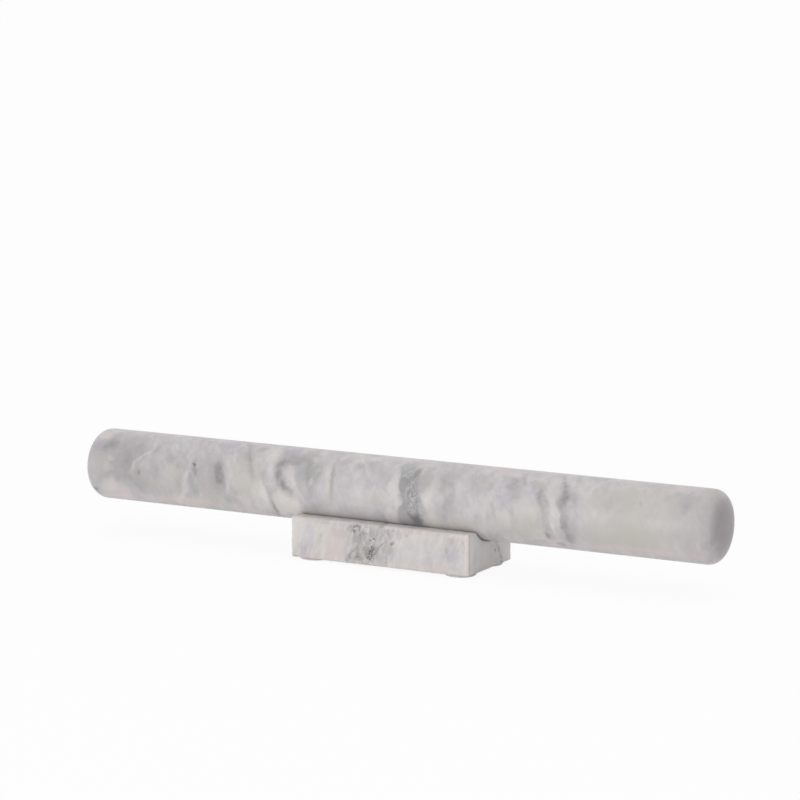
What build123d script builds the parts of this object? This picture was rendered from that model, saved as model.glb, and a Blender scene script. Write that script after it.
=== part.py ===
"""A solid marble rolling pin without handles, in the groove of a low marble cradle on four stick-on feet.

Lengths are in millimetres.
The frame: +X along the rolling pin, +Y to the back, +Z up.
The origin lies under the middle of the pin, on the surface that the feet stand on.
"""

import math
import os

from build123d import *

# Rolling pin: one turned bar of stone, its ends slightly domed and rounded at the rim
pin_diameter = 47.0
pin_length = 460.0
pin_rim_radius = 8.5
pin_dome_radius = 60.0

# Cradle: a sawn block with a round groove along its top, a little wider than the pin, and eased edges
cradle_length = 129.3
cradle_web_thickness = 18.7
groove_depth = 8.6
groove_side_room = 2.0
land_width = 10.85
cradle_edge_radius = 1.2
groove_edge_radius = 2.0

# How the pin lies in the cradle: a hair clear of the groove, and with the cradle's middle to its right
seat_clearance = 0.3
cradle_offset = 2.45

# Feet: clear elastomer discs, each held by a thin adhesive film that lies inside the eased edges
foot_diameter = 20.0
foot_thickness = 1.2
foot_rim_radius = 0.6
adhesive_margin = 0.5
adhesive_thickness = 0.2
adhesive_edge_clearance = 0.8

# How far the cut of the groove runs past the block at each end
cut_overrun = 5.0

# Sizes that follow from those above
pin_radius = pin_diameter / 2
groove_radius = pin_radius + groove_side_room
groove_half_width = math.sqrt(groove_depth * (2 * groove_radius - groove_depth))
cradle_width = 2 * (groove_half_width + land_width)
cradle_height = cradle_web_thickness + groove_depth
cradle_bottom = foot_thickness + adhesive_thickness
groove_bottom = cradle_bottom + cradle_web_thickness
groove_axis_height = groove_bottom + groove_radius
pin_axis_height = groove_bottom + seat_clearance + pin_radius
foot_radius = foot_diameter / 2
adhesive_radius = foot_radius - adhesive_margin
foot_inset = cradle_edge_radius + adhesive_edge_clearance + adhesive_radius
foot_reach_x = cradle_length / 2 - foot_inset
foot_reach_y = cradle_width / 2 - foot_inset

# The way to each foot from the cradle's middle, along X and along Y
foot_corners = {
    "front_left": (-1, -1),
    "front_right": (1, -1),
    "rear_left": (-1, 1),
    "rear_right": (1, 1),
}


def arc_points(centre_along, centre_radius, arc_radius, start_angle, end_angle):
    """The start, middle and end of an arc, each as a place along the pin and a distance from its axis."""
    points = []
    for angle in (start_angle, (start_angle + end_angle) / 2, end_angle):
        along = centre_along + arc_radius * math.cos(angle)
        radius = centre_radius + arc_radius * math.sin(angle)
        points.append((along, radius))
    return points


def right_end_arcs():
    """The rim arc and the dome arc of the pin's right end, which run into each other without a corner."""
    rim_centre_radius = pin_radius - pin_rim_radius
    centre_distance = pin_dome_radius - pin_rim_radius
    dome_centre = pin_length / 2 - pin_dome_radius
    rim_centre = dome_centre + math.sqrt(centre_distance**2 - rim_centre_radius**2)
    join_angle = math.asin(rim_centre_radius / centre_distance)
    rim = arc_points(rim_centre, rim_centre_radius, pin_rim_radius, math.pi / 2, join_angle)
    dome = arc_points(dome_centre, 0, pin_dome_radius, join_angle, 0)
    return rim, dome


def mirrored(points):
    """The same arc on the pin's left end, drawn the other way round."""
    return [(-along, radius) for along, radius in reversed(points)]


def make_rolling_pin():
    """Half of the pin's lengthwise section, turned round its axis and lifted to where the groove holds it."""
    rim, dome = right_end_arcs()
    left_rim = mirrored(rim)
    left_dome = mirrored(dome)
    with BuildPart() as pin:
        with BuildSketch(Plane.XZ) as half_section:
            with BuildLine():
                ThreePointArc(*left_dome)
                ThreePointArc(*left_rim)
                Line(left_rim[-1], rim[0])
                ThreePointArc(*rim)
                ThreePointArc(*dome)
                Line(dome[-1], left_dome[0])
            make_face()
        revolve(half_section.sketch, axis=Axis.X)
    return Pos(Z=pin_axis_height) * pin.part


def make_cradle_block():
    """A block with the groove cut along its top, the groove's edges rounded and all other edges eased."""
    standing = (Align.CENTER, Align.CENTER, Align.MIN)
    with BuildPart() as cradle:
        with Locations((cradle_offset, 0, cradle_bottom)):
            Box(cradle_length, cradle_width, cradle_height, align=standing)
        with Locations((cradle_offset, 0, groove_axis_height)):
            cut_length = cradle_length + 2 * cut_overrun
            Cylinder(groove_radius, cut_length, rotation=(0, 90, 0), mode=Mode.SUBTRACT)
        long_edges = cradle.edges().filter_by(Axis.X).sort_by(lambda edge: abs(edge.center().Y))
        fillet(long_edges[:2], radius=groove_edge_radius)
        long_edges = cradle.edges().filter_by(Axis.X).sort_by(lambda edge: abs(edge.center().Y))
        by_end = cradle.edges().group_by(Axis.X)
        fillet(long_edges[-4:] + by_end[0] + by_end[-1], radius=cradle_edge_radius)
    return cradle.part


def standing_disc(radius, thickness, bottom, side_x, side_y):
    """A disc under one corner of the cradle, with its lower face at the given height."""
    place = (cradle_offset + side_x * foot_reach_x, side_y * foot_reach_y, bottom)
    with BuildPart() as disc:
        with Locations(place):
            Cylinder(radius, thickness, align=(Align.CENTER, Align.CENTER, Align.MIN))
    return disc.part


def make_foot(side_x, side_y):
    """One foot, with the rim that it stands on rounded."""
    foot = standing_disc(foot_radius, foot_thickness, 0, side_x, side_y)
    lower_rim = foot.edges().group_by(Axis.Z)[0]
    return fillet(lower_rim, radius=foot_rim_radius)


def make_adhesive(side_x, side_y):
    """The film between one foot and the cradle's underside, a little smaller than the foot."""
    return standing_disc(adhesive_radius, adhesive_thickness, foot_thickness, side_x, side_y)


def main():
    os.makedirs("parts", exist_ok=True)
    pieces = {"rolling_pin": make_rolling_pin(), "cradle_block": make_cradle_block()}
    for corner, (side_x, side_y) in foot_corners.items():
        pieces[f"foot_{corner}"] = make_foot(side_x, side_y)
        pieces[f"foot_adhesive_{corner}"] = make_adhesive(side_x, side_y)
    for name, piece in pieces.items():
        export_step(piece, f"parts/{name}.step")


main()
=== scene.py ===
"""The looks of a marble rolling pin that lies in the groove of its marble cradle.

Every piece is in metres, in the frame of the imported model: +X along the pin, +Y to the back, +Z up.
Sizes and places in the tables are in millimetres and degrees.
"""

import math

import bmesh
import bpy
from bpy.props import FloatProperty, FloatVectorProperty, IntProperty, PointerProperty
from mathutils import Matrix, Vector


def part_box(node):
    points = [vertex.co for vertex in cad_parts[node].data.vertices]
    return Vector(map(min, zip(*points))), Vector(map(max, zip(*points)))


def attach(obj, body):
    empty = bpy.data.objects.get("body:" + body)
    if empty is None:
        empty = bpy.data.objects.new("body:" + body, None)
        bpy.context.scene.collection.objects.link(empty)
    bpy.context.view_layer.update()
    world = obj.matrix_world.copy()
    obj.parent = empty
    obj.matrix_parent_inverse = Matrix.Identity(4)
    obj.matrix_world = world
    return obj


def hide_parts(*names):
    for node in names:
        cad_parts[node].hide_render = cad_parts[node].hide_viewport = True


bl_info = {
    "name": "Marble rolling pin",
    "version": (1, 0, 0),
    "blender": (4, 5, 0),
    "location": "View3D > Sidebar > Rolling Pin",
    "description": "Builds a marble rolling pin, its cradle and feet, and a plain stage around them",
    "category": "Object",
}

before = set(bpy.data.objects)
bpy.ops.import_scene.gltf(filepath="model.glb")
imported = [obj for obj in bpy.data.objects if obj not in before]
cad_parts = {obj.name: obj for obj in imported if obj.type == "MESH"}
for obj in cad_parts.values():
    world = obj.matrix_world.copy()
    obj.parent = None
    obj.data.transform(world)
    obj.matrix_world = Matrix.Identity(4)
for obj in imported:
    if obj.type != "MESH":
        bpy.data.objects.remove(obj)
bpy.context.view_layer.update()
PIN_LOW, PIN_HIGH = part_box("rolling_pin")
BLOCK_LOW, BLOCK_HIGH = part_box("cradle_block")
PIN_CENTRE = (PIN_LOW + PIN_HIGH) / 2
PIN_RADIUS = (PIN_HIGH.z - PIN_LOW.z) / 2
BLOCK_CENTRE = (BLOCK_LOW + BLOCK_HIGH) / 2
MM = 0.001
FOOT_CORNERS = ("front_left", "front_right", "rear_left", "rear_right")


def shown(red, green, blue):
    """A colour picked as it looks on a screen, 0 to 255, as the light that a material gives back."""
    bright = [value / 255 for value in (red, green, blue)]
    return tuple(v / 12.92 if v <= 0.04045 else ((v + 0.055) / 1.055) ** 2.4 for v in bright)


# Sizes and colours that a user would change


def number(name, description, default, **limits):
    return FloatProperty(name=name, description=description, default=default, **limits)


def length(name, description, millimetres, least=0):
    return number(name, description, millimetres * MM, min=least, unit="LENGTH", precision=5)


def angle(name, description, degrees):
    return number(name, description, math.radians(degrees), subtype="ANGLE")


def count(name, description, default, least):
    return IntProperty(name=name, description=description, default=default, min=least)


def colour(name, description, red, green, blue):
    settings = {"default": shown(red, green, blue), "size": 3, "min": 0, "max": 1, "subtype": "COLOR"}
    return FloatVectorProperty(name=name, description=description, **settings)


class RollingPinSettings(bpy.types.PropertyGroup):
    rim_radius: length("Rim radius", "Rounding between the side of the pin and its end", 8.5)
    dome_radius: length("Dome radius", "Radius of the slightly domed end", 60)
    slice_length: length("Slice length", "Length of one ring of faces along the straight part", 5)
    rim_steps: count("Rim steps", "Faces across the rounded rim", 12, 3)
    dome_steps: count("Dome steps", "Faces from the rim to the middle of the end", 10, 2)
    turn_steps: count("Turn steps", "Faces round the pin", 192, 24)


class CradleSettings(bpy.types.PropertyGroup):
    groove_radius: length("Groove radius", "Radius of the round groove that holds the pin", 25.5)
    groove_depth: length("Groove depth", "Depth of the groove below the top of the cradle", 8.6)
    edge_radius: length("Edge radius", "Rounding of the outer edges", 1.2)
    groove_edge_radius: length("Groove edge radius", "Rounding where the groove meets the flats beside it", 2)
    wear_depth: length("Wear depth", "How far the edges are worn back", 0.45)
    wear_width: length("Wear width", "How far the wear reaches from an edge", 2.2)
    groove_steps: count("Groove steps", "Faces across half of the groove", 12, 3)
    slices: count("Slices", "Cuts along the cradle", 200, 2)
    layers: count("Layers", "Cuts up its sides", 14, 2)


class FootSettings(bpy.types.PropertyGroup):
    rim_radius: length("Rim radius", "Rounding of the rim that the foot stands on", 0.6)
    dish_margin: length("Dish margin", "Width of the flat ring round the shallow dish underneath", 3.2)
    dish_depth: length("Dish depth", "Depth of the shallow dish underneath", 0.12)
    sides: count("Sides", "Faces round the foot", 96, 12)


class PinStoneSettings(bpy.types.PropertyGroup):
    light: colour("Light ground", "The palest part of the pin's stone", 212, 208, 210)
    shade: colour("Shaded ground", "The greyer part of the pin's stone", 187, 183, 185)
    smoke: colour("Smoke", "The mauve grey of its broad clouds", 156, 152, 154)
    beige: colour("Beige", "The warm grey of its calm parts", 194, 191, 184)
    blush: colour("Blush", "A faint pink tint", 218, 203, 201)
    lilac: colour("Lilac", "A faint lilac tint", 172, 164, 180)
    olive: colour("Olive", "The green-grey of its soft clouds", 145, 148, 143)
    slate: colour("Slate", "The blue-grey of its main veins", 126, 125, 128)
    umber: colour("Umber", "The brown-grey of thin veins and spots", 118, 108, 102)
    # Cream also carries painted light on the pin's underside above the cradle
    cream: colour("Cream", "Pale healed cracks and patches", 223, 219, 213)
    moss: colour("Moss", "The green-grey top of the broad band", 134, 142, 139)
    ink: colour("Ink", "The darkest blue of the broad band", 66, 70, 84)
    # Partly the stone's own grey and partly painted shade on the right end
    dusk_and_end_shade: colour("Dusk", "The purple-grey of the right end", 140, 133, 137)


class CradleStoneSettings(bpy.types.PropertyGroup):
    light: colour("Light ground", "The palest part of the cradle's stone", 224, 220, 217)
    shade: colour("Shaded ground", "The greyer part of the cradle's stone", 205, 201, 199)
    slate: colour("Slate", "The purple-black of its veins", 94, 88, 95)
    olive: colour("Olive", "The olive brown of its triangle-shaped stains", 142, 137, 124)
    # Smoke also colours the painted shade on the flats beside the groove
    smoke: colour("Smoke", "The grey of its clouded middle", 172, 167, 166)
    lilac: colour("Lilac", "A faint lilac tint", 200, 195, 202)
    blush: colour("Blush", "A faint pink tint", 212, 200, 196)
    edge: colour("Worn edge", "The paler stone on worn edges", 220, 209, 206)
    rust: colour("Rust", "The reddish brown that collects beside the front right edge", 158, 132, 124)


class StageSettings(bpy.types.PropertyGroup):
    azimuth: angle("Azimuth", "How far the camera is turned to the right of the front", 28.668)
    elevation: angle("Elevation", "How far the camera looks down", 11.212)
    distance: length("Distance", "From the middle of the pin to the camera", 2212.4)
    aim_right: length("Aim right", "How far right of the pin's middle the camera aims", 1.48, least=-1)
    aim_up: length("Aim up", "How far above the pin's middle the camera aims", 60.18, least=-1)
    lens: number("Lens", "Focal length of the camera", 154.47, unit="CAMERA")
    key_power: number("Key light", "Power of the soft light in front", 16.7, subtype="POWER", unit="POWER")
    surround: number("Surround", "Strength of the even light from all sides", 0.49, min=0)
    overhead: number("Overhead", "How many times stronger the surround is straight above", 2.43, min=0)
    right_shade: number("Right shade", "How much darker the surround is at the right", 0.05, min=0, max=1)
    floor: colour("Floor", "The pale floor", 250, 250, 250)


# Materials: sums written as Python, each adding its nodes

# Numbers of the outputs that are used on the nodes for coordinates, noise and kinds of ray
GENERATED, OBJECT = 0, 3
COLOUR = 1
CAMERA_RAY, GLOSSY_RAY, TRANSMISSION_RAY = 0, 3, 6


class Signal:
    """A socket in a material. Sums and products of signals add Math nodes."""

    def __init__(self, sheet, socket):
        self.sheet = sheet
        self.socket = socket

    def __add__(self, other):
        return self.sheet.maths("ADD", self, other)

    def __sub__(self, other):
        return self.sheet.maths("SUBTRACT", self, other)

    def __rsub__(self, other):
        return self.sheet.maths("SUBTRACT", other, self)

    def __mul__(self, other):
        return self.sheet.maths("MULTIPLY", self, other)

    def __truediv__(self, other):
        return self.sheet.maths("DIVIDE", self, other)

    def __rtruediv__(self, other):
        return self.sheet.maths("DIVIDE", other, self)

    __radd__ = __add__
    __rmul__ = __mul__


class Sheet:
    """The sheet of nodes of one material or of the world."""

    def __init__(self, tree):
        self.tree = tree
        tree.nodes.clear()

    def node(self, kind, settings=None, inputs=None):
        """Adds a node, sets it, then fills its sockets with values and links. Returns its outputs."""
        made = self.tree.nodes.new(kind)
        for setting, value in (settings or {}).items():
            if setting == "stops":
                set_stops(made.color_ramp, value)
            elif setting == "interpolation":
                made.color_ramp.interpolation = value
            else:
                setattr(made, setting, value)
        for socket, value in (inputs or {}).items():
            if isinstance(value, Signal):
                self.tree.links.new(value.socket, made.inputs[socket])
            else:
                made.inputs[socket].default_value = value
        return [Signal(self, socket) for socket in made.outputs]

    def maths(self, operation, *values):
        return self.node("ShaderNodeMath", {"operation": operation}, dict(enumerate(values)))[0]

    def vector(self, operation, *values, output=0):
        return self.node("ShaderNodeVectorMath", {"operation": operation}, dict(enumerate(values)))[output]

    def dot(self, a, b):
        return self.vector("DOT_PRODUCT", a, b, output=1)

    def point(self, x, y, z):
        return self.node("ShaderNodeCombineXYZ", None, {0: x, 1: y, 2: z})[0]

    def axes(self, place):
        return self.node("ShaderNodeSeparateXYZ", None, {0: place})

    def parts(self, colour):
        return self.node("ShaderNodeSeparateColor", None, {0: colour})

    def mix(self, factor, a, b):
        """Colour a turned into colour b by the factor. 6 and 7 are the node's sockets for colours."""
        inputs = {0: factor, 6: opaque(a), 7: opaque(b)}
        return self.node("ShaderNodeMix", {"data_type": "RGBA", "clamp_factor": True}, inputs)[2]

    def fade(self, value, start, end, at_start=0.0, at_end=1.0):
        """A smooth step from one value to another between start and end."""
        settings = {"interpolation_type": "SMOOTHSTEP", "clamp": False}
        inputs = {0: value, 1: start, 2: end, 3: at_start, 4: at_end}
        return self.node("ShaderNodeMapRange", settings, inputs)[0]

    def noise(self, place, size, detail=2.0, roughness=0.5, output=0, distortion=0.0):
        """Soft noise with lumps of the given size."""
        inputs = {"Vector": place, "Scale": 1 / size, "Detail": detail}
        inputs.update({"Roughness": roughness, "Distortion": distortion})
        return self.node("ShaderNodeTexNoise", {"noise_dimensions": "3D"}, inputs)[output]

    def curve(self, value, low, high, rows):
        """Reads a smooth curve at a value from low to high.

        A row gives a value and the four numbers, each from 0 to 1, that the curve has there.
        """
        stops = [((at - low) / (high - low), numbers) for at, numbers in rows]
        along = (value - low) / (high - low)
        settings = {"interpolation": "CARDINAL", "stops": stops}
        colour, last = self.node("ShaderNodeValToRGB", settings, {0: along})
        return (*self.parts(colour), last)

    def bump(self, height, strength, depth):
        """The normal of a surface that is as rough as the height, with its depth in millimetres."""
        inputs = {"Strength": strength, "Distance": depth * MM, "Height": height}
        return self.node("ShaderNodeBump", None, inputs)[0]

    def group(self, name, draw, **links):
        """Puts the nodes that draw() adds in a group whose inputs are the links. Returns its output."""
        tree = bpy.data.node_groups.new(name, "ShaderNodeTree")
        kinds = {"VECTOR": "NodeSocketVector", "VALUE": "NodeSocketFloat"}
        for title, signal in links.items():
            tree.interface.new_socket(title, in_out="INPUT", socket_type=kinds[signal.socket.type])
        tree.interface.new_socket("Strength", in_out="OUTPUT", socket_type="NodeSocketFloat")
        inner = Sheet(tree)
        entries = inner.node("NodeGroupInput")
        inner.node("NodeGroupOutput", None, {0: draw(inner, *entries[: len(links)])})
        return self.node("ShaderNodeGroup", {"node_tree": tree}, links)[0]

    def stretched(self, place, turn, lengths):
        """The place seen by a pattern that is turned by the angles and drawn out to the lengths."""
        inputs = {"Vector": place, "Rotation": [math.radians(angle) for angle in turn], "Scale": lengths}
        return self.node("ShaderNodeMapping", {"vector_type": "TEXTURE"}, inputs)[0]


def set_stops(ramp, stops):
    while len(ramp.elements) > 1:
        ramp.elements.remove(ramp.elements[-1])
    ramp.elements[0].position = stops[0][0]
    ramp.elements[0].color = stops[0][1]
    for position, value in stops[1:]:
        ramp.elements.new(position).color = value


def opaque(value):
    """A colour as a socket takes it."""
    return value if isinstance(value, Signal) else (*value, 1.0)


def new_material(name):
    material = bpy.data.materials.new(name)
    material.use_nodes = True
    return material, Sheet(material.node_tree)


def object_place(sheet):
    """The place on the piece in millimetres."""
    place = sheet.node("ShaderNodeTexCoord")[OBJECT]
    return sheet.vector("MULTIPLY", place, (1 / MM, 1 / MM, 1 / MM))


def finish_material(sheet, colour, roughness, normal=None, **settings):
    inputs = {"Base Color": opaque(colour), "Roughness": roughness, **settings}
    if normal:
        inputs["Normal"] = normal
    surface = sheet.node("ShaderNodeBsdfPrincipled", None, inputs)[0]
    sheet.node("ShaderNodeOutputMaterial", None, {"Surface": surface})


def strokes(sheet, place, rows):
    """Adds up soft ovals on a flat drawing of the surface.

    place is (across, up, 1) in millimetres. A row gives the oval's middle, its half width and half height,
    its strength and, if its top leans to the right, by how many degrees.
    """
    total = 0.0
    for row in rows:
        across, up, wide, high, strength, lean = (*row, 0)[:6]
        cos, sin = math.cos(math.radians(lean)), math.sin(math.radians(lean))
        side = sheet.dot(place, (cos / wide, -sin / wide, (-across * cos + up * sin) / wide))
        rise = sheet.dot(place, (sin / high, cos / high, (-across * sin - up * cos) / high))
        apart = sheet.maths("MULTIPLY_ADD", rise, rise, side * side)
        total = sheet.fade(apart, 0, 1, strength, 0) + total
    return total


# The furthest that a vein wanders from its middle, and its largest half width (mm)
VEIN_REACH = 30.0
VEIN_WIDEST = 20.0


def vein(sheet, across, up, low, high, rows):
    """A line that wanders across the drawing as it runs up it.

    up runs from low to high. A row gives a height, where the line is there, its strength, and its half width
    to the left and, where that differs, to the right.
    """
    middle = sum(row[1] for row in rows) / len(rows)
    points = []
    for row in rows:
        height, at, strength, left, right = (*row, row[-1])[:5]
        shares = ((at - middle) / (2 * VEIN_REACH) + 0.5, left / VEIN_WIDEST, right / VEIN_WIDEST, strength)
        points.append((height, shares))
    at, left, right, strength = sheet.curve(up, low, high, points)
    line = sheet.maths("MULTIPLY_ADD", at, 2 * VEIN_REACH, middle - VEIN_REACH)
    apart = across - line
    is_right = sheet.maths("GREATER_THAN", apart, 0.0)
    width = sheet.maths("MULTIPLY_ADD", is_right, right - left, left)
    share = sheet.maths("ABSOLUTE", apart) / sheet.maths("MULTIPLY_ADD", width, VEIN_WIDEST, 0.01)
    return sheet.fade(share, 0, 1, 1, 0) * strength


def drawn_tint(sheet, name, drawing, across, up, clouds, veins, span):
    """A node group with all the clouds and veins of one tint on one drawing."""

    def draw(inner, drawing, across, up):
        total = strokes(inner, drawing, clouds)
        for rows in veins:
            total = total + vein(inner, across, up, *span, sorted(rows))
        return total

    return sheet.group(name, draw, Drawing=drawing, Across=across, Up=up)


# The rolling pin's stone

# Each row of clouds: place along the pin (mm), angle round it from the front towards the top (degrees),
# half width (mm), half height round the pin (mm), strength and any lean to the right (degrees)
PIN_CLOUDS = {
    "smoke": (
        (-206, 30, 30, 22, 0.54, -20), (-205, -22, 30, 16, 0.26), (-176, 58, 24, 12, 0.2),
        (-186, 4, 24, 18, 0.32), (-176, -12, 14, 9, 0.14, -20), (-150, 8, 24, 20, 0.24),
        (-127, 6, 14, 22, 0.36, -8), (-160, -28, 28, 9, 0.14), (-135, 62, 26, 8, 0.12),
        (-104, 52, 10, 16, 0.2, -15), (-72, 52, 14, 10, 0.26), (-63, 25, 5.5, 14, 0.34, -12),
        (-54, 3, 10, 10, 0.14), (-14, 56, 12, 6, 0.12), (2, 40, 8, 7, 0.14), (-30, 50, 9, 10, 0.1),
        (-30, 12, 17, 12, 0.15), (2, 26, 8, 8, 0.17), (94, 12, 14, 9, 0.1), (45, 45, 12, 12, 0.18, -10),
        (48, 12, 9, 12, 0.16), (72, 40, 16, 10, 0.14), (94, 42, 9, 11, 0.18, -15),
        (110, 20, 6, 18, 0.12, -4), (133, -15, 9, 20, 0.2), (160, 42, 14, 7, 0.16), (178, 52, 12, 6, 0.1),
        (205, 50, 18, 10, 0.2),
    ),
    "beige": (
        (185, 15, 50, 28, 0.6), (165, -22, 42, 12, 0.6), (98, -20, 26, 12, 0.65), (110, 2, 6, 10, 0.55),
        (147, 30, 6, 10, 0.3), (-215, 8, 10, 10, 0.3), (-160, 5, 6, 12, 0.55), (-165, -20, 20, 8, 0.35),
        (-125, -35, 14, 8, 0.5), (-100, 15, 14, 18, 0.75), (-100, -25, 14, 14, 0.26), (-40, 0, 3, 16, 0.4),
    ),
    # The blush ovals low on the underside, at -46 to -54 degrees, are partly the stone's pink tint and partly
    # painted light: their paleness stands in for light thrown up from the floor.
    "blush": (
        (-217, 64, 7, 6, 0.55, 20), (-208, 4, 6, 4, 0.3), (-204, -38, 14, 11, 0.55),
        (-190, -52, 20, 6, 0.5), (-150, -47, 26, 7, 0.6), (-104, -34, 9, 8, 0.35, 20),
        (-100, -54, 16, 6, 0.5), (-72, -47, 12, 5, 0.4), (-96, 60, 8, 14, 0.16, -20), (-34, 74, 4, 5, 0.3),
        (-38, 48, 2.5, 6, 0.25), (-8, 34, 6, 3, 0.2), (26, 80, 9, 4, 0.35), (49, -32, 5, 4, 0.3),
        (62, -8, 9, 4, 0.25), (85, 74, 12, 6, 0.4, 20), (115, -52, 16, 5, 0.32), (150, -50, 14, 4, 0.22),
        (185, -46, 45, 6, 0.38), (205, 80, 8, 6, 0.45), (221, -40, 5, 7, 0.5), (222, 72, 6, 6, 0.4),
    ),
    "lilac": (
        (-217, 36, 7, 7, 0.36), (-219, -25, 5, 5, 0.22), (-200, -2, 4, 5, 0.2), (-172, -32, 6, 5, 0.26, 30),
        (-188, -50, 8, 4, 0.25), (-122, 72, 11, 7, 0.46, -10), (-71, 70, 8, 7, 0.58, -25),
        (-61, 30, 5, 10, 0.25, -10), (-47, -8, 4, 7, 0.24), (-44, 15, 2.5, 8, 0.14), (88, 20, 7, 4, 0.26),
        (136, -18, 4, 8, 0.32), (130, -15, 6, 14, 0.16), (189, 66, 8, 5, 0.18), (210, 48, 6, 8, 0.22),
    ),
    "olive": (
        (-207, 46, 6, 5, 0.3, -20), (-185, -12, 14, 7, 0.16), (-178, -26, 10, 7, 0.14),
        (-140, -20, 6, 6, 0.22), (-112, -32, 9, 6, 0.26, 30), (-78, 66, 4, 7, 0.3, -10),
        (-72, 30, 3.2, 8, 0.2, -15), (-58, 66, 7, 5, 0.24), (-54, 40, 11, 15, 0.34, -8),
        (-49, 25, 6, 12, 0.28), (-49, -27, 6, 5, 0.26), (-32, 58, 8, 4, 0.14), (-14, 54, 10, 6, 0.16),
        (31, 42, 6, 12, 0.32, -10), (33, -16, 5, 8, 0.12), (49, 37, 4, 5, 0.12, -20), (58, 8, 7, 8, 0.14),
        (52, -8, 6, 6, 0.14), (86, 60, 10, 3, 0.14), (99, -34, 5, 6, 0.14), (145, 85, 9, 4, 0.18),
        (205, 60, 8, 4, 0.1),
    ),
    "slate": (
        (-208, 44, 8, 5.5, 0.26, -10), (-190, 32, 13, 11, 0.22, -10), (-183, 5, 6, 5, 0.24),
        (-190, -4, 3.2, 3.6, 0.26), (-172, 42, 7, 6, 0.18, -20), (-171, 8, 6, 6, 0.16),
        (-160, 30, 6, 5, 0.18, 20), (-152, 20, 4, 4, 0.18, 10), (-151, -8, 5, 6, 0.18),
        (-143, -2, 3, 6, 0.24, -10), (-140.5, 15, 3, 6, 0.3, -8), (-139, -14, 4, 5, 0.14),
        (-121, 13, 11, 14, 0.2, -10), (-122, 24, 5, 6, 0.22, -25), (-119.5, 9, 5, 9, 0.46, -25),
        (-120, -6, 5, 5, 0.18), (-103, 47, 4.5, 4.5, 0.2, -20), (-95, 71, 7, 5, 0.24),
        (-76.5, 32, 4.5, 11, 0.22, -6), (-75, 16, 5, 7, 0.16, -28), (-69.5, -1, 5, 9, 0.36, -28),
        (-73, 44, 8, 4, 0.22, 20), (-66, 54, 9, 6, 0.32, -8), (-55, 38, 3.6, 9, 0.12, -12),
        (-54, 22, 3, 6, 0.1), (-52, 0, 3, 6, 0.16), (-16, 54, 10, 5, 0.08, 10), (44, 50, 7, 7, 0.14, -15),
        (44, 35, 4, 9, 0.16, -10), (50, 37, 3, 4, 0.16, -30), (50, 14, 4.5, 6, 0.22, -20),
        (46.5, -4, 2.6, 14, 0.16), (52, 60, 5, 8, 0.14), (54, 82, 6, 5, 0.12, -20),
        (66, 50, 9, 6, 0.12, -10), (67, 32, 6, 6, 0.1), (77, 38, 3.6, 4, 0.24),
        (92, 54, 4.5, 4.5, 0.26, -20), (91, 42, 4, 5, 0.24, -20), (94, 28, 4.5, 7, 0.2, -10),
        (94, 5, 3, 3.5, 0.16), (80.5, 2, 2, 6, 0.18, -8), (77, -8, 2.5, 5, 0.14), (107, 52, 5, 6, 0.16),
        (112.5, 36, 3.8, 8, 0.14, -8), (115, 22, 3.8, 7, 0.14, -12), (117, -32, 3.2, 3.8, 0.24),
        (125, 55, 5, 5, 0.18, -30), (129, 47, 4, 5, 0.24), (128, 30, 6.5, 8, 0.28),
        (134, 34, 6, 4.6, 0.24, 30), (130, -5, 4.5, 12, 0.2), (133, -32, 5, 6, 0.26),
        (181, 34, 2, 2.4, 0.24), (185, 78, 8, 5, 0.1), (198, 48, 5, 5, 0.1), (210, 38, 3, 6, 0.12),
    ),
    "umber": (
        (-212, 34, 5, 3.4, 0.2, 25), (-221, -38, 1.8, 3.2, 0.55, 10), (-219, -46, 1.8, 3, 0.25),
        (-183, 6, 2.2, 2.2, 0.46), (-141, 26.5, 1.7, 1.3, 0.8), (-141, 36, 2.4, 5, 0.14),
        (-81.5, -35, 3.4, 6, 0.3, -8), (-71, -50, 4, 3.4, 0.34), (-83, -53, 5, 3, 0.2),
        (109, -48, 6, 4, 0.18), (124, -48, 5, 3.6, 0.34, -30), (117, -31, 2.4, 2.4, 0.3),
        (158, 30, 6, 4, 0.1),
    ),
    # The broad cream ovals at -37 degrees, low on the front above the cradle, are painted light: a paler
    # underside standing in for light that reaches it past the cradle. The cream patches just above them, at
    # -28 to -33 degrees, are partly pale stone and partly painted light.
    "cream": (
        (-206, 20, 4, 3, 0.24), (-207, -26, 8, 8, 0.26), (-87, 66, 8, 14, 0.36, -15),
        (-84, 42, 4, 14, 0.24, -8), (-71, -28, 14, 14, 0.74, -10), (-61, -29, 6, 8, 0.4),
        (-90, -22, 9, 14, 0.4), (-27, -37, 36, 9, 0.42), (7, -31, 6, 10, 0.7), (36, -33, 7, 10, 0.5),
        (52, -37, 26, 9, 0.42), (-87, -5, 5, 12, 0.32, -10), (-54, 58, 3, 3.4, 0.3), (-52, 18, 3, 3, 0.36),
        (-48, 38, 2.5, 3, 0.24), (-27, 22, 4, 4, 0.18), (-17, 10, 7, 12, 0.2), (9, 18, 4, 12, 0.38, -5),
        (12.3, -5, 2.6, 8, 0.4), (35, 5, 5, 14, 0.4), (43, 12, 4, 6, 0.22), (88, -8, 6, 8, 0.34),
        (100, 3, 6, 7, 0.22), (108, 6, 4, 7, 0.26), (118, 45, 3, 16, 0.24, -12), (122, 0, 3.4, 16, 0.3, -3),
        (121.5, -11, 2.4, 3, 0.35), (126, -6, 2, 8, 0.26), (140, 50, 5, 12, 0.22, -20),
        (142, 20, 5, 6, 0.18), (155, -3, 12, 10, 0.14), (206, -28, 3, 3, 0.24), (-2, 82, 30, 5, 0.2),
    ),
}

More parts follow.
